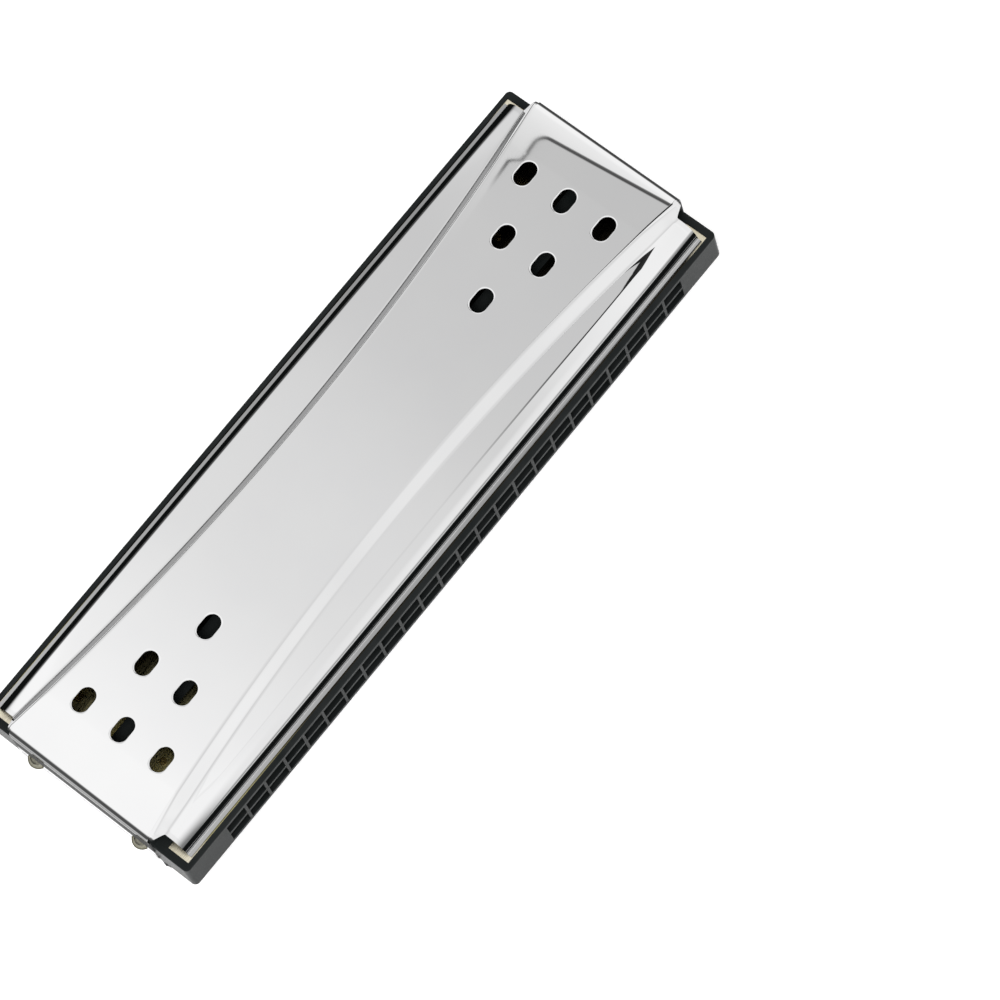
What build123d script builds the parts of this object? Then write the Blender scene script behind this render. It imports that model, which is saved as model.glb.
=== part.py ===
from build123d import *
import os

# Double-sided tremolo harmonica. One moulded comb carries four reed plates: an upper and a
# lower one for the front row of holes, and the same again for the rear row. Two identical
# pressed covers close it above and below, and two screws hold both covers at each end.
# +X runs along the instrument, with the front player's low notes at -X. -Y is the front
# mouthpiece and +Z is up. The origin is under the middle, where the lower cover rests.
# The pieces are drawn about the comb's mid-plane and raised by half the height at export.

# Driving dimensions, in millimetres.
HEIGHT = 23.6

HOLE_COLUMNS = 24
HOLE_PITCH = 6.4
HOLE_DIVIDER = 0.7
HOLE_HEIGHT = 3.6
ROW_DIVIDER = 0.8

COMB_LENGTH = 178.4
COMB_WIDTH = 58.3
COMB_HEIGHT = 10.6
COMB_CORNER_RADIUS = 1.2
COMB_EDGE_RADIUS = 0.4
POST_DEPTH = 3.6
POST_WIDTH = 38.8
POST_GAP = 1.1

PLATE_THICKNESS = 1.0
PLATE_LENGTH = 174.6
PLATE_OUTER_Y = 27.9
PLATE_INNER_Y = 3.4
PLATE_NOTCH_Y = 22.3
PLATE_NOTCH_DEPTH = 3.2
PLATE_FIT = 0.05

REED_THICKNESS = 0.3
LONGEST_REED = 15.0
SHORTEST_REED = 8.5
WIDEST_REED = 2.6
NARROWEST_REED = 2.0
SLOT_CLEARANCE = 0.08
TIP_CLEARANCE = 0.14
ROOT_GAP = 0.03
PAD_LENGTH = 3.0
PAD_EXTRA_WIDTH = 0.5
DRAW_ROOT_Y = 22.7
BLOW_ROOT_Y = 10.6
CHAMBER_INNER_Y = 7.0
CHAMBER_TIP_ROOM = 0.8

RIVET_RADIUS = 0.5
RIVET_HEAD_RADIUS = 0.85
RIVET_HEAD_HEIGHT = 0.3
PLATE_SCREW_RADIUS = 0.6
PLATE_SCREW_HEAD_RADIUS = 1.2
PLATE_SCREW_HEAD_HEIGHT = 0.6
PLATE_SCREW_LENGTH = 3.0
PLATE_SCREW_Y = 5.5
PLATE_SCREW_SPACING = 40.0
PLATE_SCREWS_INNER = 5
CORNER_SCREW_X = 81.6
CORNER_SCREW_Y = 24.4

SHEET = 0.4
COVER_LENGTH = 179.2
CROWN_END_WIDTH = 42.2
CROWN_WAIST_WIDTH = 29.8
CROWN_QUARTER_WIDTH = 33.7
CROWN_QUARTER_X = 50.0
STEP_RADIUS = 1.0
STEP_FOOT_RADIUS = 0.95
CROWN_CORNER_RADIUS = 1.2
SHORTEST_FOOT_EDGE = 30.0
WING_LENGTH = 172.0
WING_DROP = 2.2
WING_OUTER_Y = 26.8
WING_EDGE_RADIUS = 4.5
RIM_OUTER_Y = 27.7
SKIRT = 0.5
FLAP_GAP = 0.15

OVAL_LENGTH = 5.9
OVAL_WIDTH = 3.9
OVAL_PITCH_X = 14.2
OVAL_PITCH_Y = 11.0
OVAL_FIRST_X = 74.2
OVAL_ROWS = 3

END_SCREW_Y = 14.8
END_SCREW_RADIUS = 1.0
END_SCREW_LENGTH = 7.0
END_SCREW_HEAD_RADIUS = 2.1
END_SCREW_HEAD_HEIGHT = 1.4
END_SCREW_FIT = 0.02
FLAP_NOTCH_RADIUS = 1.2
DRIVE_TURN = 60.0
DRIVE_SLOT_WIDTH_SHARE = 0.24
DRIVE_SLOT_DEPTH_SHARE = 0.38

# How far a cutting shape runs past what it cuts.
OVERSHOOT = 1.0

# Levels above the mid-plane.
CROWN_TOP = HEIGHT / 2
WING_TOP = CROWN_TOP - WING_DROP
RIM_TOP = COMB_HEIGHT / 2
CHAMBER_FLOOR = ROW_DIVIDER / 2
PLATE_BOTTOM = CHAMBER_FLOOR + HOLE_HEIGHT
PLATE_TOP = PLATE_BOTTOM + PLATE_THICKNESS


def box(x_range, y_range, z_range):
    """A box between three pairs of limits."""
    limits = (x_range, y_range, z_range)
    sizes = [abs(high - low) for low, high in limits]
    centre = tuple((low + high) / 2 for low, high in limits)
    return Pos(*centre) * Box(*sizes)


def group(shapes):
    """Separate solids kept together as one node."""
    return Compound([solid for shape in shapes for solid in shape.solids()])


def column_x(column):
    return (column - (HOLE_COLUMNS - 1) / 2) * HOLE_PITCH


def along_scale(column, low_end, high_end):
    """A size that changes evenly from the lowest note's column to the highest's."""
    return low_end + (high_end - low_end) * column / (HOLE_COLUMNS - 1)


def is_blow(column):
    return column % 2 == 0


def reed_length(column):
    return along_scale(column, LONGEST_REED, SHORTEST_REED)


def reed_width(column):
    return along_scale(column, WIDEST_REED, NARROWEST_REED)


# Each plate and what is on it is drawn once, above the front row of holes.


def reed_frame(column):
    """Where a column's reed is rooted, which way it points along Y, and its lower level."""
    if is_blow(column):
        return -BLOW_ROOT_Y, -1, PLATE_BOTTOM - REED_THICKNESS
    return -DRAW_ROOT_Y, 1, PLATE_TOP


def tongue(column):
    """The free part of a reed, which swings through its slot."""
    root, way, level = reed_frame(column)
    half = reed_width(column) / 2
    x = column_x(column)
    ends = (root + way * ROOT_GAP, root + way * reed_length(column))
    return box((x - half, x + half), ends, (level, level + REED_THICKNESS))


def pad(column):
    """The riveted root of a reed."""
    root, way, level = reed_frame(column)
    half = (reed_width(column) + PAD_EXTRA_WIDTH) / 2
    x = column_x(column)
    ends = (root, root - way * PAD_LENGTH)
    plain = box((x - half, x + half), ends, (level, level + REED_THICKNESS))
    hole = Pos(x, rivet_y(column), level) * Cylinder(RIVET_RADIUS, 4 * REED_THICKNESS)
    return plain - hole


def rivet_y(column):
    root, way, _ = reed_frame(column)
    return root - way * PAD_LENGTH / 2


def rivet(column):
    """A rivet through a pad and the plate, with a head on each side."""
    low = PLATE_BOTTOM - (REED_THICKNESS if is_blow(column) else 0)
    high = PLATE_TOP + (0 if is_blow(column) else REED_THICKNESS)
    place = Pos(column_x(column), rivet_y(column), (low + high) / 2)
    shank = Cylinder(RIVET_RADIUS, high - low)
    lift = (high - low + RIVET_HEAD_HEIGHT) / 2
    head = Cylinder(RIVET_HEAD_RADIUS, RIVET_HEAD_HEIGHT)
    heads = [Pos(0, 0, way * lift) * head for way in (-1, 1)]
    return place * (shank + heads)


def slot(column):
    root, way, _ = reed_frame(column)
    half = reed_width(column) / 2 + SLOT_CLEARANCE
    x = column_x(column)
    far = root + way * (reed_length(column) + TIP_CLEARANCE)
    return box((x - half, x + half), (root, far), (PLATE_BOTTOM - OVERSHOOT, PLATE_TOP + OVERSHOOT))


def plate_screw_places():
    """Where the screws of one plate stand: a row beside the spine and one in each end block."""
    first = -(PLATE_SCREWS_INNER - 1) / 2
    row = [((first + i) * PLATE_SCREW_SPACING, -PLATE_SCREW_Y) for i in range(PLATE_SCREWS_INNER)]
    corners = [(way * CORNER_SCREW_X, -CORNER_SCREW_Y) for way in (-1, 1)]
    return row + corners


def plate_blank(fit=0):
    """A plate's outline, notched round the comb's end posts, and grown by the fit."""
    half = PLATE_LENGTH / 2 + fit
    low, high = PLATE_BOTTOM, PLATE_TOP + (OVERSHOOT if fit else 0)
    blank = box((-half, half), (-PLATE_OUTER_Y - fit, -PLATE_INNER_Y + fit), (low, high))
    inner, outer = half - PLATE_NOTCH_DEPTH, half + OVERSHOOT
    notches = [
        box((way * inner, way * outer), (-PLATE_NOTCH_Y + fit, 0), (low - OVERSHOOT, high + OVERSHOOT))
        for way in (-1, 1)
    ]
    return blank - notches


def reed_plate():
    middle = (PLATE_BOTTOM + PLATE_TOP) / 2
    columns = range(HOLE_COLUMNS)
    slots = [slot(c) for c in columns]
    rivet_holes = [
        Pos(column_x(c), rivet_y(c), middle) * Cylinder(RIVET_RADIUS, 2 * PLATE_THICKNESS) for c in columns
    ]
    screw_holes = [
        Pos(x, y, middle) * Cylinder(PLATE_SCREW_RADIUS, 2 * PLATE_THICKNESS)
        for x, y in plate_screw_places()
    ]
    return plate_blank() - slots - rivet_holes - screw_holes


def drive_slot(head_radius, head_height):
    """The straight slot across a screw's head, in proportion to the head."""
    depth = DRIVE_SLOT_DEPTH_SHARE * head_height
    slot_box = Box(2 * (head_radius + OVERSHOOT), DRIVE_SLOT_WIDTH_SHARE * head_radius, 2 * depth)
    return Pos(0, 0, head_height) * slot_box


def plate_screw(x, y):
    """A small slotted pan-head screw, driven down into the comb."""
    height = PLATE_SCREW_HEAD_HEIGHT
    shank = Pos(0, 0, -PLATE_SCREW_LENGTH / 2) * Cylinder(PLATE_SCREW_RADIUS, PLATE_SCREW_LENGTH)
    head = Pos(0, 0, height / 2) * Cylinder(PLATE_SCREW_HEAD_RADIUS, height)
    return Pos(x, y, PLATE_TOP) * (shank + head - drive_slot(PLATE_SCREW_HEAD_RADIUS, height))


# The four quarters of the instrument. The rear row is the front row turned half a turn,
# and the lower plates are the upper ones mirrored.


def upper_front(shape):
    return shape


def lower_front(shape):
    return mirror(shape, about=Plane.XY)


def upper_rear(shape):
    return Rot(0, 0, 180) * shape


def lower_rear(shape):
    return Rot(0, 0, 180) * mirror(shape, about=Plane.XY)


QUARTERS = [upper_front, lower_front, upper_rear, lower_rear]


def chamber(column):
    """One air cell of the upper front row, open at the mouthpiece and under its reed plate."""
    half = (HOLE_PITCH - HOLE_DIVIDER) / 2
    x = column_x(column)
    tip = -DRAW_ROOT_Y + reed_length(column) + CHAMBER_TIP_ROOM
    inner = -CHAMBER_INNER_Y if is_blow(column) else tip
    return box((x - half, x + half), (-COMB_WIDTH, inner), (CHAMBER_FLOOR, PLATE_BOTTOM))


def screw_bore(x, y):
    depth = PLATE_SCREW_LENGTH + END_SCREW_FIT
    return Pos(x, y, PLATE_TOP - depth / 2) * Cylinder(PLATE_SCREW_RADIUS + END_SCREW_FIT, depth)


def comb():
    """The moulded body: cells, plate recesses, and a post at each end inside the covers."""
    outline = RectangleRounded(COMB_LENGTH, COMB_WIDTH, COMB_CORNER_RADIUS)
    body = extrude(outline, amount=RIM_TOP, both=True)
    rims = body.faces().filter_by(Axis.Z).edges()
    body = fillet(rims, COMB_EDGE_RADIUS)
    post_height = CROWN_TOP - SHEET - POST_GAP
    outer = COMB_LENGTH / 2
    posts = [
        box(
            (way * (outer - POST_DEPTH), way * outer),
            (-POST_WIDTH / 2, POST_WIDTH / 2),
            (-post_height, post_height),
        )
        for way in (-1, 1)
    ]
    body = body + posts
    cuts = [plate_blank(PLATE_FIT)]
    cuts += [chamber(c) for c in range(HOLE_COLUMNS)]
    cuts += [screw_bore(x, y) for x, y in plate_screw_places()]
    for quarter in QUARTERS:
        body = body - [quarter(cut) for cut in cuts]
    bores = [end_screw_bore(end, side) for end in (-1, 1) for side in (-1, 1)]
    return body - bores


# Covers.


def crown_outline(inset):
    """The raised crown in plan: straight at the ends and drawn in to a waist by long arcs."""
    end_x = COVER_LENGTH / 2 - inset
    end_y = CROWN_END_WIDTH / 2 - inset
    waist_y = CROWN_WAIST_WIDTH / 2 - inset
    quarter_y = CROWN_QUARTER_WIDTH / 2 - inset
    waist = ThreePointArc((-CROWN_QUARTER_X, quarter_y), (0, waist_y), (CROWN_QUARTER_X, quarter_y))
    flare = TangentArc((CROWN_QUARTER_X, quarter_y), (end_x, end_y), tangent=waist % 1)
    side = Curve() + [waist, flare, mirror(flare, about=Plane.YZ)]
    ends = [Line((way * end_x, -end_y), (way * end_x, end_y)) for way in (-1, 1)]
    outline = Curve() + [side, mirror(side, about=Plane.XZ)] + ends
    return make_face(outline)


def crown_block(inset, bottom):
    face = crown_outline(inset)
    block = Pos(0, 0, bottom) * extrude(face, amount=CROWN_TOP - inset - bottom)
    corners = block.edges().filter_by(Axis.Z)
    block = fillet(corners, CROWN_CORNER_RADIUS)
    top = block.faces().sort_by(Axis.Z)[-1].edges()
    return fillet(top, STEP_RADIUS - inset)


def wing_block(inset, length, bottom):
    """The part beside the crown: flat on top, rounded over to a short upright wall."""
    half = WING_OUTER_Y - inset
    blank = box((-length / 2, length / 2), (-half, half), (bottom, WING_TOP - inset))
    edges = blank.edges().filter_by(Axis.X).group_by(Axis.Z)[-1]
    return fillet(edges, WING_EDGE_RADIUS - inset)


def side_rim(way):
    """The narrow flat rim turned out at the foot of a wing, which lies on the reed plate."""
    sides = (way * (WING_OUTER_Y - SHEET), way * RIM_OUTER_Y)
    return box((-WING_LENGTH / 2, WING_LENGTH / 2), sides, (PLATE_TOP, PLATE_TOP + SHEET))


def end_flap(way):
    """The tongue of sheet turned down over the comb's end, to the mid-plane."""
    outer = COVER_LENGTH / 2
    half = CROWN_END_WIDTH / 2 - CROWN_CORNER_RADIUS
    levels = (FLAP_GAP, WING_TOP)
    sheet = box((way * (outer - SHEET), way * outer), (-half, half), levels)
    notches = [
        Pos(way * outer, side * END_SCREW_Y, 0) * Rot(0, 90, 0) * Cylinder(FLAP_NOTCH_RADIUS, 4 * SHEET)
        for side in (-1, 1)
    ]
    return sheet - notches


def oval_places():
    """A triangle of ovals at each end of the crown, pointing to the middle."""
    for row in range(OVAL_ROWS):
        count = OVAL_ROWS - row
        for i in range(count):
            for way in (-1, 1):
                yield way * (OVAL_FIRST_X - row * OVAL_PITCH_X), (i - (count - 1) / 2) * OVAL_PITCH_Y


def cover():
    """One pressed cover: crown, wings, rims on the plates, and a turned-down flap at each end."""
    outer = crown_block(0, WING_TOP - SKIRT) + wing_block(0, WING_LENGTH, PLATE_TOP)
    crown_reach = CROWN_END_WIDTH / 2 + SHEET
    foot = [
        edge
        for edge in outer.edges().filter_by_position(Axis.Z, WING_TOP, WING_TOP)
        if abs(edge.center().Y) < crown_reach and edge.length > SHORTEST_FOOT_EDGE
    ]
    outer = fillet(foot, STEP_FOOT_RADIUS)
    hollow_length = COVER_LENGTH + 2 * OVERSHOOT
    inner = crown_block(SHEET, PLATE_TOP) + wing_block(SHEET, hollow_length, PLATE_TOP - OVERSHOOT)
    shell = outer - inner
    shell = shell + [end_flap(way) for way in (-1, 1)] + [side_rim(way) for way in (-1, 1)]
    oval = extrude(SlotOverall(OVAL_LENGTH, OVAL_WIDTH), amount=SHEET + OVERSHOOT, both=True)
    return shell - [Pos(x, y, CROWN_TOP) * oval for x, y in oval_places()]


# End screws, through the notches of both covers into the comb.


def end_place(end, side):
    """On a cover's outer face at one end, with +Z pointing out of the instrument."""
    return Pos(end * COVER_LENGTH / 2, side * END_SCREW_Y, 0) * Rot(0, end * 90, 0)


def end_screw(end, side):
    """A slotted dome-head screw."""
    radius, height = END_SCREW_HEAD_RADIUS, END_SCREW_HEAD_HEIGHT
    shank = Pos(0, 0, -END_SCREW_LENGTH / 2) * Cylinder(END_SCREW_RADIUS, END_SCREW_LENGTH)
    ball_radius = (radius**2 + height**2) / (2 * height)
    ball = Pos(0, 0, height - ball_radius) * Sphere(ball_radius)
    dome = Pos(0, 0, height / 2) * Cylinder(radius, height) & ball
    slotted = dome - Rot(0, 0, DRIVE_TURN) * drive_slot(radius, height)
    return end_place(end, side) * (shank + slotted)


def end_screw_bore(end, side):
    depth = END_SCREW_LENGTH + END_SCREW_FIT
    bore = Cylinder(END_SCREW_RADIUS + END_SCREW_FIT, depth)
    return end_place(end, side) * Pos(0, 0, -depth / 2) * bore


def write(node, shape):
    raised = shape.moved(Location((0, 0, HEIGHT / 2)))
    export_step(raised, f"parts/{node}.step")


def write_quarter(quarter):
    """The plate, reeds, rivets and plate screws of one quarter."""
    name = quarter.__name__
    columns = range(HOLE_COLUMNS)
    write(f"reed_plate_{name}", quarter(reed_plate()))
    write(f"blow_reeds_{name}", group(quarter(tongue(c)) for c in columns if is_blow(c)))
    write(f"draw_reeds_{name}", group(quarter(tongue(c)) for c in columns if not is_blow(c)))
    write(f"reed_roots_{name}", group(quarter(pad(c)) for c in columns))
    write(f"reed_rivets_{name}", group(quarter(rivet(c)) for c in columns))
    screws = [quarter(plate_screw(x, y)) for x, y in plate_screw_places()]
    write(f"plate_screws_{name}", group(screws))


os.makedirs("parts", exist_ok=True)
write("comb", comb())
top = cover()
write("top_cover", top)
write("bottom_cover", Rot(180, 0, 0) * top)
for quarter in QUARTERS:
    write_quarter(quarter)
for end, name in ((-1, "left"), (1, "right")):
    write(f"cover_screws_{name}", group(end_screw(end, side) for side in (-1, 1)))
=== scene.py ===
import math

import bpy
import numpy as np
from mathutils import Matrix, Vector


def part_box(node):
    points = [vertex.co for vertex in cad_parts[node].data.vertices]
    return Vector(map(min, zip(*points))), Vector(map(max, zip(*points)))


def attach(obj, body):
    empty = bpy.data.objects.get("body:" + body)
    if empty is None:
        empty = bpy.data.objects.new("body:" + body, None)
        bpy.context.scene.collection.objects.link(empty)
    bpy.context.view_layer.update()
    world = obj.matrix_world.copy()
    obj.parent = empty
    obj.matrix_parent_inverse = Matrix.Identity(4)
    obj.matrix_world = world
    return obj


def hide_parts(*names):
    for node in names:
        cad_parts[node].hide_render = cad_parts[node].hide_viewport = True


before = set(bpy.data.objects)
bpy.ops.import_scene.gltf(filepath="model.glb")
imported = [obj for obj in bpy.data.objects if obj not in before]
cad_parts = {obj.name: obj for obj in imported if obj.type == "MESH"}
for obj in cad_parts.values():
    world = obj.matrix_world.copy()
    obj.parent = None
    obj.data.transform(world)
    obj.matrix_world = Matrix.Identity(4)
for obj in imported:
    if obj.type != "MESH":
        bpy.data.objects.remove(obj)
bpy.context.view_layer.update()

# Shapes are drawn in millimetres about the comb's mid-plane, as the CAD pieces are. They are
# turned into metres and raised onto the floor when a mesh is made.
MM = 0.001
BODY = "harmonica"


def box_mm(node):
    low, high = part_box(node)
    return low / MM, high / MM


COVER_LOW, COVER_HIGH = box_mm("top_cover")
_, PLATE_HIGH = box_mm("reed_plate_upper_front")
HEIGHT = COVER_HIGH.z
MID = HEIGHT / 2

# Cover: a plateau (the crown), a step down to the wings, a roll over to a short wall, and a
# narrow rim turned out onto the reed plates.
CROWN_TOP = HEIGHT - MID
COVER_END = COVER_HIGH.x
FLAP_BOTTOM = COVER_LOW.z - MID
SHEET = 0.4
RIM_LEVEL = PLATE_HIGH.z - MID + SHEET
CROWN_END_HALF = 21.1
CROWN_WAIST_HALF = 14.9
CROWN_QUARTER_HALF = 16.85
CROWN_QUARTER_X = 50.0
WING_TOP = CROWN_TOP - 2.2
WING_END = 86.0
STEP_SLOPE = math.radians(47)
STEP_BEND = 1.2
STEP_BEND_SHARE = 0.49
ROLL_START = 23.1
ROLL_WIDTH = 3.7
ROLL_HEIGHT = 5.2
ROLL_POWER = 1.9
ROLL_LEAST_LEFT = 1e-6
FOOT_BEND = 0.4
RIM_OUTER_Y = 27.6
END_BEND = 1.8
END_PILLOW = 0.4
END_PILLOW_LENGTH = 10.0
PILLOW_START = COVER_END - END_BEND - END_PILLOW_LENGTH
CORNER_END = 89.0
RELIEF_START = 20.2
RELIEF_WIDTH = 1.6

# Each wing falls away gently before it rolls over, from further in towards the ends.
TAIL_START = 22.9
TAIL_DRAW_IN = 2.9
TAIL_DRAW_X = 50.0
TAIL_DRAW_RUN = 30.0
TAIL_RADIUS = 58.0

# Ovals punched in the crown, each in a patch of the cover's grid.
OVAL_LENGTH = 5.9
OVAL_WIDTH = 3.9
OVAL_PITCH_X = 14.2
OVAL_PITCH_Y = 11.0
OVAL_FIRST_X = 74.2
OVAL_ROWS = 3
LIP = 0.25
PATCH_X = 4.0
PATCH_Y = 3.0
GRID = 0.5
FIXED_Y = 14.0
PATCH_FREE_X = 41.0
PATCH_FREE_Y = 8.5

END_SCREW_Y = 14.8
NOTCH_RADIUS = 1.2

# How the columns of the cover's grid are shared out.
PLATEAU_COLUMNS = 12
PLATEAU_ROOM = 0.8
BEND_COLUMNS = 8
WALL_COLUMNS = 3
FLAT_COLUMNS = 5
FLAT_LEAD = 0.04
FLAT_LEAD_SHARE = 0.3
FLAT_LEAD_X = 69.0
FLAT_LEAD_RUN = 5.0
STEP_TO_ROLL = 0.05
ROLL_COLUMNS = 30
ROLL_SPREAD = 2.2
FOOT_COLUMNS = 7
FOOT_SEARCH_STEPS = 4000
END_ROWS = 26
FLAP_ROWS = 14
RING_SHARES = (0.2, 0.42, 0.66, 0.86)
LIP_STEPS = 4

EDGE_BEVEL = 0.05
EDGE_BEVEL_ANGLE = math.radians(50)


def smooth(t):
    t = np.clip(t, 0.0, 1.0)
    return t * t * (3 - 2 * t)


# The cover's surface.


def waist_centre():
    """Where the waist's long arc has its centre, on the Y axis."""
    rise = CROWN_QUARTER_HALF - CROWN_WAIST_HALF
    radius = (CROWN_QUARTER_X**2 + rise**2) / (2 * rise)
    return CROWN_WAIST_HALF + radius, radius


def crown_half(x):
    """Half the crown's width: a long arc round the waist that flares smoothly to each end."""
    x = abs(x)
    centre, radius = waist_centre()
    if x <= CROWN_QUARTER_X:
        return centre - math.sqrt(radius**2 - x**2)
    slope = CROWN_QUARTER_X / (centre - CROWN_QUARTER_HALF)
    run = COVER_END - CROWN_QUARTER_X
    rise = CROWN_END_HALF - CROWN_QUARTER_HALF
    t = x - CROWN_QUARTER_X
    return CROWN_QUARTER_HALF + slope * t + (rise - slope * run) * (t / run) ** 2


def pillow(x):
    """How far the crown's top falls away towards its ends."""
    to_end = np.clip((abs(x) - PILLOW_START) / END_PILLOW_LENGTH, 0, 1)
    return END_PILLOW * to_end**2


def roll_drop(y):
    """How far the wing has rolled down at y, and the tangent of its slope there."""
    t = np.clip((y - ROLL_START) / ROLL_WIDTH, 0, 1)
    left = np.maximum(1 - t**ROLL_POWER, ROLL_LEAST_LEFT)
    slope = ROLL_HEIGHT / ROLL_WIDTH * t ** (ROLL_POWER - 1) * left ** (1 / ROLL_POWER - 1)
    return ROLL_HEIGHT * (1 - left ** (1 / ROLL_POWER)), slope


def wall_foot():
    """Y and z where the roll's wall gives way to the bend at its foot, and its slope angle."""
    for y in np.linspace(ROLL_START, ROLL_START + ROLL_WIDTH, FOOT_SEARCH_STEPS):
        drop, slope = roll_drop(y)
        angle = math.atan(slope)
        if WING_TOP - drop <= RIM_LEVEL + FOOT_BEND * (1 - math.cos(angle)):
            break
    return y, WING_TOP - drop, angle


WALL_FOOT = wall_foot()


def tail_drop(x, y, crown_edge, z):
    """How far the wing's gentle fall lowers points at height z, fading out down the roll."""
    draw = max(0.0, abs(x) - TAIL_DRAW_X) / TAIL_DRAW_RUN
    start = max(crown_edge, TAIL_START - TAIL_DRAW_IN * draw**2)
    fall = np.maximum(y - start, 0) ** 2 / (2 * TAIL_RADIUS)
    sunk = np.clip((WING_TOP - z) / (WING_TOP - WALL_FOOT[1]), 0, 1)
    return fall * (1 - sunk)


def fixed_columns(start, x):
    """Evenly spaced columns that carry the ovals, drawn in where the crown is too narrow."""
    fixed = np.arange(0, FIXED_Y + GRID / 2, GRID)
    if x >= PATCH_FREE_X:
        return fixed
    room = (start - PLATEAU_ROOM - PATCH_FREE_Y) / (FIXED_Y - PATCH_FREE_Y)
    beyond = np.maximum(fixed - PATCH_FREE_Y, 0)
    return np.minimum(fixed, PATCH_FREE_Y) + beyond * min(1.0, room)


def half_section(x):
    """The outer surface at x from the middle line to the rim's edge, as y and z arrays."""
    half = crown_half(x)
    edge_z = CROWN_TOP - pillow(x)
    drop = edge_z - WING_TOP
    bend_drop = 1 - math.cos(STEP_SLOPE)
    bend = min(STEP_BEND, STEP_BEND_SHARE * drop / bend_drop)
    wall = (drop - 2 * bend * bend_drop) / math.sin(STEP_SLOPE)
    reach = 2 * bend * math.sin(STEP_SLOPE) + wall * math.cos(STEP_SLOPE)
    start = half - reach / 2
    fixed = fixed_columns(start, abs(x))
    top_y = np.linspace(fixed[-1], start, PLATEAU_COLUMNS + 1)[1:]
    y = np.concatenate([fixed, top_y])
    z = np.full(len(y), edge_z)
    angles = np.linspace(0, STEP_SLOPE, BEND_COLUMNS + 1)[1:]
    down_y = start + bend * np.sin(angles)
    down_z = z[-1] - bend * (1 - np.cos(angles))
    up_angles = STEP_SLOPE - np.concatenate([[0], angles])
    up_y = start + reach - bend * np.sin(up_angles)
    up_z = WING_TOP + bend * (1 - np.cos(up_angles))
    share = np.linspace(0, 1, WALL_COLUMNS + 1)[1:-1]
    wall_y = down_y[-1] + (up_y[0] - down_y[-1]) * share
    wall_z = down_z[-1] + (up_z[0] - down_z[-1]) * share
    foot_y, _, foot_angle = WALL_FOOT
    roll_start = max(ROLL_START, up_y[-1] + STEP_TO_ROLL)
    lead_share = FLAT_LEAD_SHARE * smooth((abs(x) - FLAT_LEAD_X) / FLAT_LEAD_RUN)
    lead = FLAT_LEAD + lead_share * (roll_start - up_y[-1])
    flat_y = np.linspace(up_y[-1] + lead, roll_start, FLAT_COLUMNS)
    spread = 1 - (1 - np.linspace(0, 1, ROLL_COLUMNS + 1)[1:]) ** ROLL_SPREAD
    roll_y = np.concatenate([flat_y, roll_start + (foot_y - roll_start) * spread])
    roll_z = WING_TOP - roll_drop(roll_y)[0]
    turn = foot_angle * (1 - np.linspace(0, 1, FOOT_COLUMNS + 1)[1:])
    foot_centre = foot_y + FOOT_BEND * math.sin(foot_angle)
    bend_y = foot_centre - FOOT_BEND * np.sin(turn)
    bend_z = RIM_LEVEL + FOOT_BEND * (1 - np.cos(turn))
    y = np.concatenate([y, down_y, wall_y, up_y, roll_y, bend_y, [RIM_OUTER_Y]])
    z = np.concatenate([z, down_z, wall_z, up_z, roll_z, bend_z, [RIM_LEVEL]])
    return y, z - tail_drop(x, y, start, z)


FIXED_COUNT = round(FIXED_Y / GRID) + 1
EDGE_COLUMN = FIXED_COUNT + PLATEAU_COLUMNS - 1
COLUMNS = len(half_section(0.0)[0])


def column_end(column, y_end):
    """How far along X a column of the sheet reaches: to the crown's end, or the wing's."""
    if column <= EDGE_COLUMN:
        return COVER_END
    t = smooth((y_end - RELIEF_START) / RELIEF_WIDTH)
    return CORNER_END + (WING_END - CORNER_END) * t


MAIN_END = OVAL_FIRST_X + PATCH_X


def main_rows():
    """X of the rows from the middle to the outermost ovals, with every patch edge on a row."""
    rows = [0.0]
    for i in reversed(range(OVAL_ROWS)):
        centre = OVAL_FIRST_X - i * OVAL_PITCH_X
        gap = centre - PATCH_X - rows[-1]
        count = max(1, round(gap))
        rows += [rows[-1] + gap * (k + 1) / count for k in range(count)]
        count = round(2 * PATCH_X / GRID)
        rows += [centre - PATCH_X + 2 * PATCH_X * (k + 1) / count for k in range(count)]
    return rows


SECTION_CACHE = {}


def section(x):
    """half_section, kept for each x that is asked for again."""
    key = round(x, 6)
    if key not in SECTION_CACHE:
        SECTION_CACHE[key] = half_section(x)
    return SECTION_CACHE[key]


def quarter_points():
    """Points of a quarter cover, rows by columns by (x, y, z), up to the end of the sheet."""
    rows = main_rows()
    points = [[(x, y, z) for y, z in zip(*half_section(x))] for x in rows]
    bend_start = COVER_END - END_BEND
    y_end, _ = half_section(bend_start)
    ends = [column_end(c, y_end[c]) for c in range(COLUMNS)]
    for k in range(1, END_ROWS + 1):
        row = []
        for c in range(COLUMNS):
            flat_end = min(ends[c], bend_start)
            reach = min(1.0, max(0.0, (ends[c] - bend_start) / END_BEND))
            turn = math.asin(reach)
            length = flat_end - MAIN_END + turn * END_BEND
            s = length * k / END_ROWS
            flat = min(s, flat_end - MAIN_END)
            angle = max(0.0, (s - (flat_end - MAIN_END)) / END_BEND)
            x = MAIN_END + flat
            y, z = section(x)
            bent_x = x + END_BEND * math.sin(angle)
            row.append((bent_x, y[c], z[c] - END_BEND * (1 - math.cos(angle))))
        points.append(row)
    return np.array(points)


def flap_points(last_row):
    """The flap below the crown's end bend, down to the mid-plane, notched for the end screws."""
    rows = []
    for k in range(1, FLAP_ROWS + 1):
        row = []
        for x, y, z in last_row[: EDGE_COLUMN + 1]:
            off = abs(y - END_SCREW_Y)
            bottom = math.sqrt(NOTCH_RADIUS**2 - off**2) if off < NOTCH_RADIUS else 0.0
            bottom = max(bottom, FLAP_BOTTOM)
            row.append((x, y, z + (bottom - z) * k / FLAP_ROWS))
        rows.append(row)
    return np.array(rows)


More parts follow.
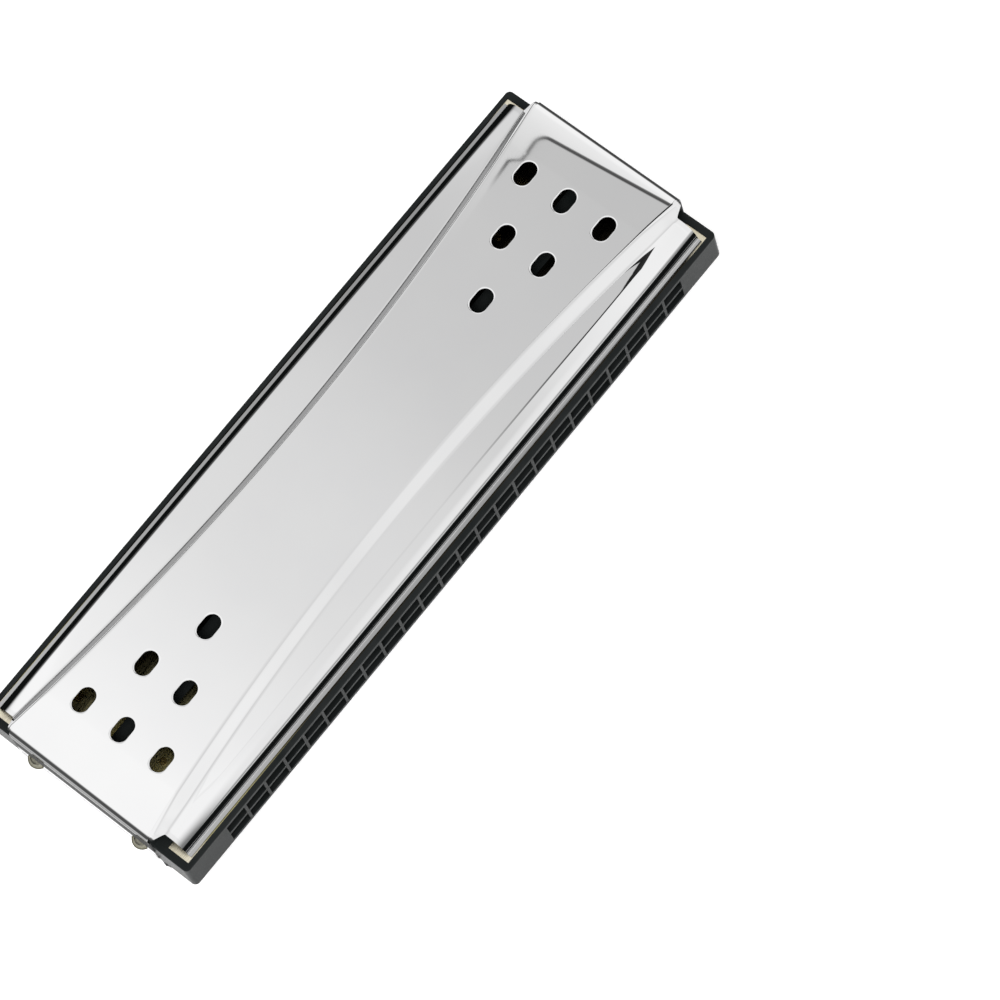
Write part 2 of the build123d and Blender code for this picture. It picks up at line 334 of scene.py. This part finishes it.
def oval_places():
    """A triangle of ovals on the quarter's side of the middle line, with those on the line."""
    for row in range(OVAL_ROWS):
        count = OVAL_ROWS - row
        for i in range(count):
            y = (i - (count - 1) / 2) * OVAL_PITCH_Y
            yield OVAL_FIRST_X - row * OVAL_PITCH_X, y


def oval_point(direction_x, direction_y, inset):
    """Where a ray from an oval's middle meets its edge, moved in by the inset."""
    radius = OVAL_WIDTH / 2 - inset
    reach = (OVAL_LENGTH - OVAL_WIDTH) / 2
    length = math.hypot(direction_x, direction_y)
    dx, dy = abs(direction_x) / length, abs(direction_y) / length
    if dy > 0 and radius / dy * dx <= reach:
        t = radius / dy
    else:
        along = reach * dx
        t = along + math.sqrt(along**2 - reach**2 + radius**2)
    return t * direction_x / length, t * direction_y / length


class Sheet:
    """Vertices and faces of the cover's outer surface, with shared vertices merged by place."""

    def __init__(self):
        self.points = []
        self.index = {}
        self.faces = []

    def vertex(self, point):
        key = tuple(round(float(v), 4) for v in point)
        if key not in self.index:
            self.index[key] = len(self.points)
            self.points.append(tuple(float(v) for v in point))
        return self.index[key]

    def face(self, corners):
        ids = [self.vertex(p) for p in corners]
        ids = [v for i, v in enumerate(ids) if v != ids[i - 1]]
        if len(ids) >= 3:
            self.faces.append(ids)


def surface_z(x):
    """Height of the crown's top at x."""
    return CROWN_TOP - float(pillow(x))


def add_oval(sheet, cx, cy):
    """Rings of faces from a patch's square edge in to the oval, then over its rounded lip."""
    nx, ny = round(2 * PATCH_X / GRID), round(2 * PATCH_Y / GRID)
    xs = np.linspace(-PATCH_X, PATCH_X, nx + 1)
    ys = np.linspace(-PATCH_Y, PATCH_Y, ny + 1)
    outline = [(x, -PATCH_Y) for x in xs[:-1]] + [(PATCH_X, y) for y in ys[:-1]]
    outline += [(x, PATCH_Y) for x in xs[:0:-1]] + [(-PATCH_X, y) for y in ys[:0:-1]]
    edge = [oval_point(x, y, -LIP) for x, y in outline]
    rings = [[(cx + x, cy + y, surface_z(cx + x)) for x, y in outline]]
    for share in RING_SHARES + (1.0,):
        ring = []
        for (ox, oy), (ex, ey) in zip(outline, edge):
            x, y = cx + ox + (ex - ox) * share, cy + oy + (ey - oy) * share
            ring.append((x, y, surface_z(x)))
        rings.append(ring)
    for step in range(1, LIP_STEPS + 1):
        angle = math.pi / 2 * step / LIP_STEPS
        inset = LIP * (math.sin(angle) - 1)
        fall = LIP * (1 - math.cos(angle))
        ring = []
        for ox, oy in outline:
            ex, ey = oval_point(ox, oy, inset)
            ring.append((cx + ex, cy + ey, surface_z(cx + ex) - fall))
        rings.append(ring)
    count = len(outline)
    for outer, inner in zip(rings, rings[1:]):
        for i in range(count):
            j = (i + 1) % count
            sheet.face([outer[i], outer[j], inner[j], inner[i]])


def in_patch(x, y, places):
    """Whether a place on the quarter cover lies in the patch round an oval."""
    return any(abs(x - cx) < PATCH_X and abs(abs(y) - abs(cy)) < PATCH_Y for cx, cy in places)


def build_cover_sheet():
    """The outer surface of a whole cover, as four mirrored quarters and the ovals' patches."""
    sheet = Sheet()
    places = list(oval_places())
    top = quarter_points()
    flap = flap_points(top[-1])
    for mx in (1, -1):
        for my in (1, -1):
            flip = mx * my < 0

            def quad(a, b, c, d):
                corners = [(mx * p[0], my * p[1], p[2]) for p in (a, b, c, d)]
                sheet.face(corners[::-1] if flip else corners)

            for r in range(len(top) - 1):
                for c in range(COLUMNS - 1):
                    a, b = top[r][c], top[r + 1][c]
                    d, e = top[r][c + 1], top[r + 1][c + 1]
                    middle_x, middle_y = (a[0] + b[0]) / 2, (a[1] + d[1]) / 2
                    if c < FIXED_COUNT - 1 and in_patch(middle_x, middle_y, places):
                        continue
                    quad(a, b, e, d)
            strip = np.concatenate([top[-1][None, : EDGE_COLUMN + 1], flap])
            for r in range(len(strip) - 1):
                for c in range(EDGE_COLUMN):
                    quad(strip[r][c], strip[r + 1][c], strip[r + 1][c + 1], strip[r][c + 1])
    for cx, cy in places:
        for mx in (1, -1):
            add_oval(sheet, mx * cx, cy)
    return sheet


def mesh_object(name, points, faces):
    """A smooth mesh from millimetre points about the mid-plane."""
    mesh = bpy.data.meshes.new(name)
    placed = (np.array(points) + (0, 0, MID)) * MM
    mesh.from_pydata([tuple(p) for p in placed], [], faces)
    mesh.update()
    mesh.shade_smooth()
    made = bpy.data.objects.new(name, mesh)
    bpy.context.scene.collection.objects.link(made)
    return made


def cover_piece(name, turned):
    """A cover as bevelled sheet, the right way up or turned over about its length."""
    sheet = build_cover_sheet()
    points = np.array(sheet.points)
    if turned:
        points = points * (1, -1, -1)
    piece = mesh_object(name, points, sheet.faces)
    thick = piece.modifiers.new("sheet", "SOLIDIFY")
    thick.thickness = SHEET * MM
    thick.offset = -1
    thick.use_even_offset = True
    edge = piece.modifiers.new("edge", "BEVEL")
    edge.width = EDGE_BEVEL * MM
    edge.segments = 2
    edge.limit_method = "ANGLE"
    edge.angle_limit = EDGE_BEVEL_ANGLE
    edge.harden_normals = True
    return piece


# Materials.

# Noise mostly falls between these values.
NOISE_SPREAD = (0.3, 0.7)


class Graph:
    """Short names for building one node tree."""

    def __init__(self, tree):
        self.tree = tree

    def node(self, kind, inputs=(), **settings):
        made = self.tree.nodes.new(kind)
        for key, value in settings.items():
            setattr(made, key, value)
        for key, value in dict(inputs).items():
            self.put(made.inputs[key], value)
        return made

    def put(self, socket, value):
        if isinstance(value, bpy.types.NodeSocket):
            self.tree.links.new(value, socket)
        else:
            socket.default_value = value

    def math(self, operation, *values):
        made = self.node("ShaderNodeMath", operation=operation)
        for socket, value in zip(made.inputs, values):
            self.put(socket, value)
        return made.outputs[0]

    def range(self, value, low, high, out_low=0.0, out_high=1.0, kind="SMOOTHSTEP"):
        """The value carried from low..high to out_low..out_high, smoothly unless kind says not."""
        inputs = {"Value": value, "From Min": low, "From Max": high}
        inputs |= {"To Min": out_low, "To Max": out_high}
        return self.node("ShaderNodeMapRange", inputs, interpolation_type=kind).outputs[0]

    def product(self, *values):
        result = values[0]
        for value in values[1:]:
            result = self.math("MULTIPLY", result, value)
        return result

    def mix(self, share, first, second):
        inputs = {0: share, 2: first, 3: second}
        return self.node("ShaderNodeMix", inputs, data_type="FLOAT").outputs[0]

    def mix_colour(self, share, first, second):
        inputs = {0: share, 6: first, 7: second}
        return self.node("ShaderNodeMix", inputs, data_type="RGBA").outputs[2]

    def noise(self, vector, scale, detail):
        inputs = {"Vector": vector, "Scale": scale, "Detail": detail}
        return self.node("ShaderNodeTexNoise", inputs).outputs["Fac"]

    def spread(self, noise, out_low, out_high):
        return self.range(noise, *NOISE_SPREAD, out_low, out_high)

    def two_tone(self, noise, low, high):
        return self.ramp(noise, list(zip(NOISE_SPREAD, (low, high))))

    def ramp(self, value, stops):
        made = self.node("ShaderNodeValToRGB", {"Fac": value})
        elements = made.color_ramp.elements
        while len(elements) < len(stops):
            elements.new(0.5)
        for element, (position, colour) in zip(elements, stops):
            element.position = position
            element.color = (*colour, 1.0)
        return made.outputs["Color"]

    def object_mm(self, stretch=(1.0, 1.0, 1.0)):
        """The surface point in millimetres, stretched to draw out a pattern."""
        place = self.node("ShaderNodeTexCoord").outputs["Object"]
        scale = tuple(s / MM for s in stretch)
        return self.node("ShaderNodeMapping", {"Vector": place, "Scale": scale}).outputs["Vector"]

    def bump(self, height, strength, distance_mm):
        inputs = {"Height": height, "Strength": strength, "Distance": distance_mm * MM}
        return self.node("ShaderNodeBump", inputs).outputs["Normal"]


def grey_ramp(g, value, stops):
    return g.ramp(value, [(place, (level, level, level)) for place, level in stops])


def material(name, build, **shader_values):
    made = bpy.data.materials.new(name)
    made.use_nodes = True
    shader = made.node_tree.nodes["Principled BSDF"]
    for key, value in shader_values.items():
        shader.inputs[key.replace("_", " ")].default_value = value
    build(Graph(made.node_tree), shader)
    return made


# Painted dark reflections in the chrome's colour: bands where it is darkened towards near black.
# Heights are millimetres from the mid-plane, on either cover, and the pairs are where a band fades
# in or out.
ABOVE_WALL = (6.35, 6.65)
BROW_FADE = (7.6, 8.0)
BROW_REAR_RISE = 1.5
WALL_PAINTED_REFLECTION_HEIGHT = 10.4
WALL_PAINTED_REFLECTION = [(0.52, 0.52), (0.54, 0.20), (0.60, 0.20), (0.625, 0.62), (0.77, 0.62), (0.80, 0.0)]
STEP_FADE_IN = (9.7, 9.85)
STEP_FADE_OUT = (11.5, 11.68)
STEP_PAINTED_REFLECTION = 0.38
NEAR_FOOT_FADE = (7.8, 9.35)
NEAR_FOOT_X = (-86.0, -64.0)
NEAR_FOOT_PAINTED_REFLECTION = 0.85
FLAP_X = (88.3, 88.7)
FLAP_PAINTED_REFLECTION_LOW = MID - 4.0
FLAP_PAINTED_REFLECTION_HEIGHT = 16.0
FLAP_PAINTED_REFLECTION = [(0.05, 0.0), (0.0875, 0.6), (0.1375, 0.6), (0.1875, 0.1), (0.344, 0.1)]
FLAP_PAINTED_REFLECTION += [(0.406, 0.90), (0.7125, 0.90), (0.7625, 0.60), (0.90, 0.60), (0.9125, 0.95)]
FLAP_PAINTED_REFLECTION += [(0.943, 0.95), (0.952, 0.0)]
PAINTED_REFLECTION_METALLIC = (0.7, 0.96)


def side_painted_reflection(g, x, y, height, haze):
    """Painted dark reflections on the rolled edges, on the rear step and round the step's foot at
    the near end.
    """
    rear = g.range(y, -1.0, 1.0)
    above_wall = g.range(height, *ABOVE_WALL)
    brow_height = g.math("SUBTRACT", height, g.math("MULTIPLY", rear, BROW_REAR_RISE))
    brow = g.product(g.range(brow_height, *BROW_FADE, 1.0, 0.0), above_wall)
    wall = grey_ramp(g, g.math("DIVIDE", height, WALL_PAINTED_REFLECTION_HEIGHT), WALL_PAINTED_REFLECTION)
    wall = g.product(wall, g.spread(haze, 0.94, 1.0))
    fall = g.range(g.math("ABSOLUTE", x), PILLOW_START, COVER_END - END_BEND, kind="LINEAR")
    crown_height = g.math("MULTIPLY_ADD", g.math("MULTIPLY", fall, fall), END_PILLOW, height)
    step = g.range(crown_height, *STEP_FADE_OUT, STEP_PAINTED_REFLECTION, 0.0)
    step = g.product(g.range(height, *STEP_FADE_IN), step, rear)
    near_foot = g.range(height, *NEAR_FOOT_FADE, NEAR_FOOT_PAINTED_REFLECTION, 0.0)
    near_foot = g.product(near_foot, g.range(x, *NEAR_FOOT_X, 1.0, 0.0), above_wall)
    near_foot = g.product(near_foot, g.math("SUBTRACT", 1.0, rear))
    edge = g.math("MAXIMUM", wall, brow)
    return g.math("MAXIMUM", edge, g.math("MAXIMUM", step, near_foot))


def flap_painted_reflection(g, z):
    """Painted dark reflections in bands up the end flaps."""
    share = g.math("DIVIDE", g.math("SUBTRACT", z, FLAP_PAINTED_REFLECTION_LOW), FLAP_PAINTED_REFLECTION_HEIGHT)
    return grey_ramp(g, share, FLAP_PAINTED_REFLECTION)


def build_chrome(g, shader):
    place = g.object_mm()
    haze = g.noise(place, 0.06, 3.0)
    scratches = g.noise(g.object_mm((0.4, 6.0, 6.0)), 1.0, 4.0)
    polish = g.range(haze, 0.35, 0.75, 0.006, 0.014)
    dulled = g.range(scratches, 0.6, 0.8, 0.0, 0.008)
    g.put(shader.inputs["Roughness"], g.math("ADD", polish, dulled))
    x, y, z = g.node("ShaderNodeSeparateXYZ", {"Vector": place}).outputs
    height = g.math("ABSOLUTE", g.math("SUBTRACT", z, MID))
    on_flap = g.range(g.math("ABSOLUTE", x), *FLAP_X)
    # Painted dark reflections: where this mask is high the chrome's colour turns near black and it
    # stops being metal.
    painted_reflection = g.mix(on_flap, side_painted_reflection(g, x, y, height, haze), flap_painted_reflection(g, z))
    chrome_own_colour = g.two_tone(haze, (0.93, 0.93, 0.935), (0.95, 0.95, 0.95))
    colour = g.mix_colour(painted_reflection, chrome_own_colour, (0.004, 0.0045, 0.0045, 1.0))
    g.put(shader.inputs["Base Color"], colour)
    g.put(shader.inputs["Specular Tint"], colour)
    g.put(shader.inputs["Metallic"], g.range(painted_reflection, *PAINTED_REFLECTION_METALLIC, 1.0, 0.0))


def build_plastic(g, shader):
    place = g.object_mm()
    cloud = g.noise(place, 0.15, 2.0)
    grain = g.noise(place, 9.0, 3.0)
    colour = g.two_tone(cloud, (0.010, 0.012, 0.012), (0.016, 0.018, 0.018))
    g.put(shader.inputs["Base Color"], colour)
    g.put(shader.inputs["Roughness"], g.spread(grain, 0.26, 0.40))
    g.put(shader.inputs["Normal"], g.bump(grain, 0.25, 0.02))


# The plates keep their own bright colour at the open corners; under the covers their colour is
# painted shade and light, lighter towards the near end and darkest away from it.
PLATE_PAINTED_SHADE_X = (-72.0, -44.0)
PLATE_BRIGHT_X = (80.0, 84.0)


def build_brass(g, shader):
    brushed = g.noise(g.object_mm((0.15, 8.0, 8.0)), 1.0, 4.0)
    stain = g.noise(g.object_mm(), 0.2, 3.0)
    bright = g.two_tone(stain, (0.84, 0.77, 0.58), (0.90, 0.84, 0.68))
    along = g.node("ShaderNodeSeparateXYZ", {"Vector": g.object_mm()}).outputs[0]
    # Painted shade under the covers, with painted light towards the near end.
    painted_shade_stops = [(0.0, (0.55, 0.50, 0.27)), (1.0, (0.04, 0.034, 0.024))]
    painted_shade = g.ramp(g.range(along, *PLATE_PAINTED_SHADE_X), painted_shade_stops)
    at_corner = g.range(g.math("ABSOLUTE", along), *PLATE_BRIGHT_X)
    g.put(shader.inputs["Base Color"], g.mix_colour(at_corner, painted_shade, bright))
    g.put(shader.inputs["Roughness"], g.spread(brushed, 0.22, 0.42))
    g.put(shader.inputs["Normal"], g.bump(brushed, 0.3, 0.01))


def metal(low, high, stretch, smoothest, roughest):
    """A builder for a small metal part: two tones and a polish drawn out along the stretch."""

    def build(g, shader):
        fine = g.noise(g.object_mm(stretch), 1.0, 3.0)
        g.put(shader.inputs["Base Color"], g.two_tone(fine, low, high))
        g.put(shader.inputs["Roughness"], g.spread(fine, smoothest, roughest))
        g.put(shader.inputs["Normal"], g.bump(fine, 0.2, 0.01))

    return build


CHROME = material("cover_chrome", build_chrome, Specular_IOR_Level=0.0)
PLASTIC = material("comb_plastic", build_plastic, Specular_IOR_Level=0.05)
BRASS = material("plate_brass", build_brass, Metallic=1.0)
REED = material(
    "reed_brass",
    metal((0.30, 0.23, 0.10), (0.42, 0.33, 0.16), (6.0, 0.4, 6.0), 0.18, 0.34),
    Metallic=1.0,
)
RIVET = material(
    "rivet_brass",
    metal((0.34, 0.25, 0.10), (0.46, 0.36, 0.17), (3.0, 3.0, 3.0), 0.20, 0.36),
    Metallic=1.0,
)
FIXING = material(
    "plate_screw_brass",
    metal((0.40, 0.31, 0.14), (0.52, 0.42, 0.22), (4.0, 4.0, 1.0), 0.16, 0.30),
    Metallic=1.0,
)
NICKEL = material(
    "screw_nickel",
    metal((0.16, 0.155, 0.125), (0.28, 0.27, 0.22), (3.0, 3.0, 3.0), 0.12, 0.26),
    Metallic=1.0,
    Specular_Tint=(0.1, 0.1, 0.08, 1.0),
)

NODE_MATERIALS = {
    "comb": PLASTIC,
    "reed_plate": BRASS,
    "blow_reeds": REED,
    "draw_reeds": REED,
    "reed_roots": REED,
    "reed_rivets": RIVET,
    "plate_screws": FIXING,
    "cover_screws": NICKEL,
}


def paint_cad_nodes():
    for name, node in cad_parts.items():
        for start, paint in NODE_MATERIALS.items():
            if name.startswith(start):
                node.data.materials.clear()
                node.data.materials.append(paint)


# Studio.

# The surroundings are shades of grey by direction, where X, Y and Z are parts of a unit vector.
# A pair is where one shade gives way to the next, or the two shades.
PANEL_SHADES = [(0.10, 0.98), (0.12, 0.88), (0.142, 0.77), (0.166, 0.73), (0.19, 0.635)]
PANEL_SHADES += [(0.215, 0.60), (0.24, 0.56)]
BEYOND_SHADES = [(0.10, 0.88), (0.166, 0.76), (0.24, 0.72), (0.33, 0.80), (0.42, 0.95)]
BEYOND_X = (0.205, 0.24)

# The panel's edge is measured in steps of its two softnesses, round a corner of that radius.
EDGE_CORNER = 2.5
EDGE_SLANT = 2.25
EDGE_SLANT_Y = 0.34
END_EDGE = 0.3375
END_SOFTNESS = 0.016
REAR_JOG_X = (0.2262, 0.2284)
REAR_EDGE = (0.3525, 0.3507)
REAR_SOFTNESS = 0.00075
EDGE_BLEND = (-0.1, 0.3)
SEAM_BLEND = (0.2, 0.55)
SEAM_DARKNESS = 0.86
SEAM_X = (0.2195, 0.2275)

FRONT_SHADES = [(0.10, 0.95), (0.12, 0.86), (0.142, 0.77), (0.166, 0.73), (0.19, 0.68)]
FRONT_SHADES += [(0.215, 0.86), (0.235, 0.92), (0.30, 0.85)]
FRONT_GROWTH = [(0.10, 0.46), (0.12, 0.48), (0.142, 0.54), (0.166, 0.58), (0.19, 0.60)]
FRONT_GROWTH += [(0.215, 0.50)]
GROWTH_Y = (-0.40, -0.95)

# A dark gap between the front and the panel, wider and darker towards the far end.
GAP_Y = 0.3005
GAP_WIDTH_X = (0.212, 0.235)
GAP_HALF_WIDTH = (0.007, 0.017)
GAP_SOFTNESS = 0.004
GAP_DARKNESS = 0.97
GAP_START_X = (0.17, 0.215)
GAP_START = (0.06, 1.0)

PANEL_Y = (0.29, 0.31)
FACING_FRONT_Y = (-0.45, -0.25)
FRONT_HORIZON_Z = (0.0, 0.05)
FRONT_HORIZON = (0.4, 1.0)
REAR_HORIZON_Z = (0.20, 0.42)
REAR_HORIZON = (0.16, 1.0)


def panel_edge(g, dx, dy):
    """How far a direction lies past the panel's slanted end and its jogged rear edge."""
    slanted = g.math("MULTIPLY", g.math("SUBTRACT", dy, EDGE_SLANT_Y), EDGE_SLANT)
    past_end = g.math("SUBTRACT", g.math("ADD", dx, slanted), END_EDGE)
    past_rear = g.math("SUBTRACT", dy, g.range(dx, *REAR_JOG_X, *REAR_EDGE))
    u = g.math("MAXIMUM", g.math("MULTIPLY_ADD", past_end, 1 / END_SOFTNESS, EDGE_CORNER), 0.0)
    v = g.math("MAXIMUM", g.math("MULTIPLY_ADD", past_rear, 1 / REAR_SOFTNESS, EDGE_CORNER), 0.0)
    length = g.math("SQRT", g.math("MULTIPLY_ADD", u, u, g.math("MULTIPLY", v, v)))
    return g.math("SUBTRACT", length, EDGE_CORNER)


def front_light(g, dx, dy):
    """The tent's front, which grows lighter or darker the lower it is."""
    growth = g.math("MULTIPLY", grey_ramp(g, dx, FRONT_GROWTH), 2.0)
    low_share = g.range(dy, *GROWTH_Y)
    change = g.math("MULTIPLY_ADD", g.math("SUBTRACT", growth, 1.0), low_share, 1.0)
    return g.math("MULTIPLY", grey_ramp(g, dx, FRONT_SHADES), change)


def dark_gap(g, dx, dy):
    """How dark the gap between the front and the panel is."""
    half = g.range(dx, *GAP_WIDTH_X, *GAP_HALF_WIDTH)
    off_gap = g.math("SUBTRACT", g.math("ABSOLUTE", g.math("SUBTRACT", dy, GAP_Y)), half)
    gap = g.range(off_gap, 0.0, GAP_SOFTNESS, GAP_DARKNESS, 0.0)
    return g.math("MULTIPLY", gap, g.range(dx, *GAP_START_X, *GAP_START))


def build_world():
    """A white tent with a greyer panel overhead, whose edges and dark gaps show in the chrome."""
    world = bpy.data.worlds.new("studio")
    bpy.context.scene.world = world
    world.use_nodes = True
    g = Graph(world.node_tree)
    direction = g.node("ShaderNodeTexCoord").outputs["Generated"]
    dx, dy, dz = g.node("ShaderNodeSeparateXYZ", {"Vector": direction}).outputs

    edge = panel_edge(g, dx, dy)
    past_edge = g.product(g.range(edge, *EDGE_BLEND), g.range(dx, *BEYOND_X))
    panel = g.mix(past_edge, grey_ramp(g, dx, PANEL_SHADES), grey_ramp(g, dx, BEYOND_SHADES))
    sky = g.mix(g.range(dy, *PANEL_Y), front_light(g, dx, dy), panel)

    seam = g.range(g.math("ABSOLUTE", edge), *SEAM_BLEND, SEAM_DARKNESS, 0.0)
    seam = g.product(seam, g.range(dx, *SEAM_X))
    open_seam = g.math("SUBTRACT", 1.0, seam)
    open_gap = g.math("SUBTRACT", 1.0, dark_gap(g, dx, dy))

    facing_front = g.range(dy, *FACING_FRONT_Y, 1.0, 0.0)
    front_horizon = g.range(dz, *FRONT_HORIZON_Z, *FRONT_HORIZON)
    rear_horizon = g.range(dz, *REAR_HORIZON_Z, *REAR_HORIZON)
    horizon = g.mix(facing_front, rear_horizon, front_horizon)
    light = g.product(sky, g.product(open_seam, open_gap), horizon)
    grey = g.node("ShaderNodeCombineColor", {0: light, 1: light, 2: light}).outputs[0]
    background = world.node_tree.nodes["Background"]
    g.put(background.inputs["Color"], grey)
    background.inputs["Strength"].default_value = 1.0


FLOOR_HALF = 2.5
FLOOR_GLOW = 0.3
WHITE = (1.0, 1.0, 1.0, 1.0)


def build_floor():
    corners = [(-1, -1, 0), (1, -1, 0), (1, 1, 0), (-1, 1, 0)]
    made = mesh_object("floor", corners, [(0, 1, 2, 3)])
    made.data.transform(Matrix.Translation((0, 0, -MID * MM)))
    made.data.transform(Matrix.Diagonal((FLOOR_HALF / MM, FLOOR_HALF / MM, 1, 1)))

    def paint(g, shader):
        grain = g.noise(g.object_mm(), 0.02, 2.0)
        paper = g.two_tone(grain, (0.93, 0.93, 0.93), (0.95, 0.95, 0.95))
        g.put(shader.inputs["Base Color"], paper)

    glow = {"Emission_Color": WHITE, "Emission_Strength": FLOOR_GLOW}
    made.data.materials.append(material("floor_paper", paint, Roughness=0.9, **glow))


def area_light(name, place, size, power):
    """A round light aimed at the origin that mirrors don't show."""
    data = bpy.data.lights.new(name, "AREA")
    data.shape = "DISK"
    data.size = size
    data.energy = power
    lamp = bpy.data.objects.new(name, data)
    lamp.location = place
    lamp.rotation_euler = (-Vector(place)).to_track_quat("-Z", "Y").to_euler()
    lamp.visible_glossy = False
    bpy.context.scene.collection.objects.link(lamp)


KEY_PLACE = (-0.5, -0.4, 1.4)
KEY_SIZE = 0.8
KEY_POWER = 13.0

# The camera stands well off and looks down along the instrument with a long lens.
CAMERA_PLACE = (-0.1981, -0.4083, 1.1162)
CAMERA_RIGHT = (0.62751792, -0.76548037, -0.14234133)
CAMERA_DOWN = (-0.7575745, -0.55808041, -0.33856629)
CAMERA_FORWARD = (0.17972794, 0.32029057, -0.93011387)
CAMERA_LENS = 200.37
SENSOR_WIDTH = 36.0


def build_camera():
    data = bpy.data.cameras.new("camera")
    data.lens = CAMERA_LENS
    data.sensor_width = SENSOR_WIDTH
    data.clip_start = 0.01
    camera = bpy.data.objects.new("camera", data)
    axes = [Vector(CAMERA_RIGHT), -Vector(CAMERA_DOWN), -Vector(CAMERA_FORWARD)]
    turn = Matrix(axes).transposed().to_4x4()
    camera.matrix_world = Matrix.Translation(CAMERA_PLACE) @ turn
    bpy.context.scene.collection.objects.link(camera)
    bpy.context.scene.camera = camera


build_camera()
build_world()
build_floor()
area_light("key", KEY_PLACE, KEY_SIZE, KEY_POWER)
bpy.context.scene.view_settings.view_transform = "Standard"

paint_cad_nodes()
for side, turned in (("top", False), ("bottom", True)):
    piece = cover_piece(f"{side}_cover_shell", turned)
    piece.data.materials.append(CHROME)
    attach(piece, BODY)
    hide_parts(f"{side}_cover")
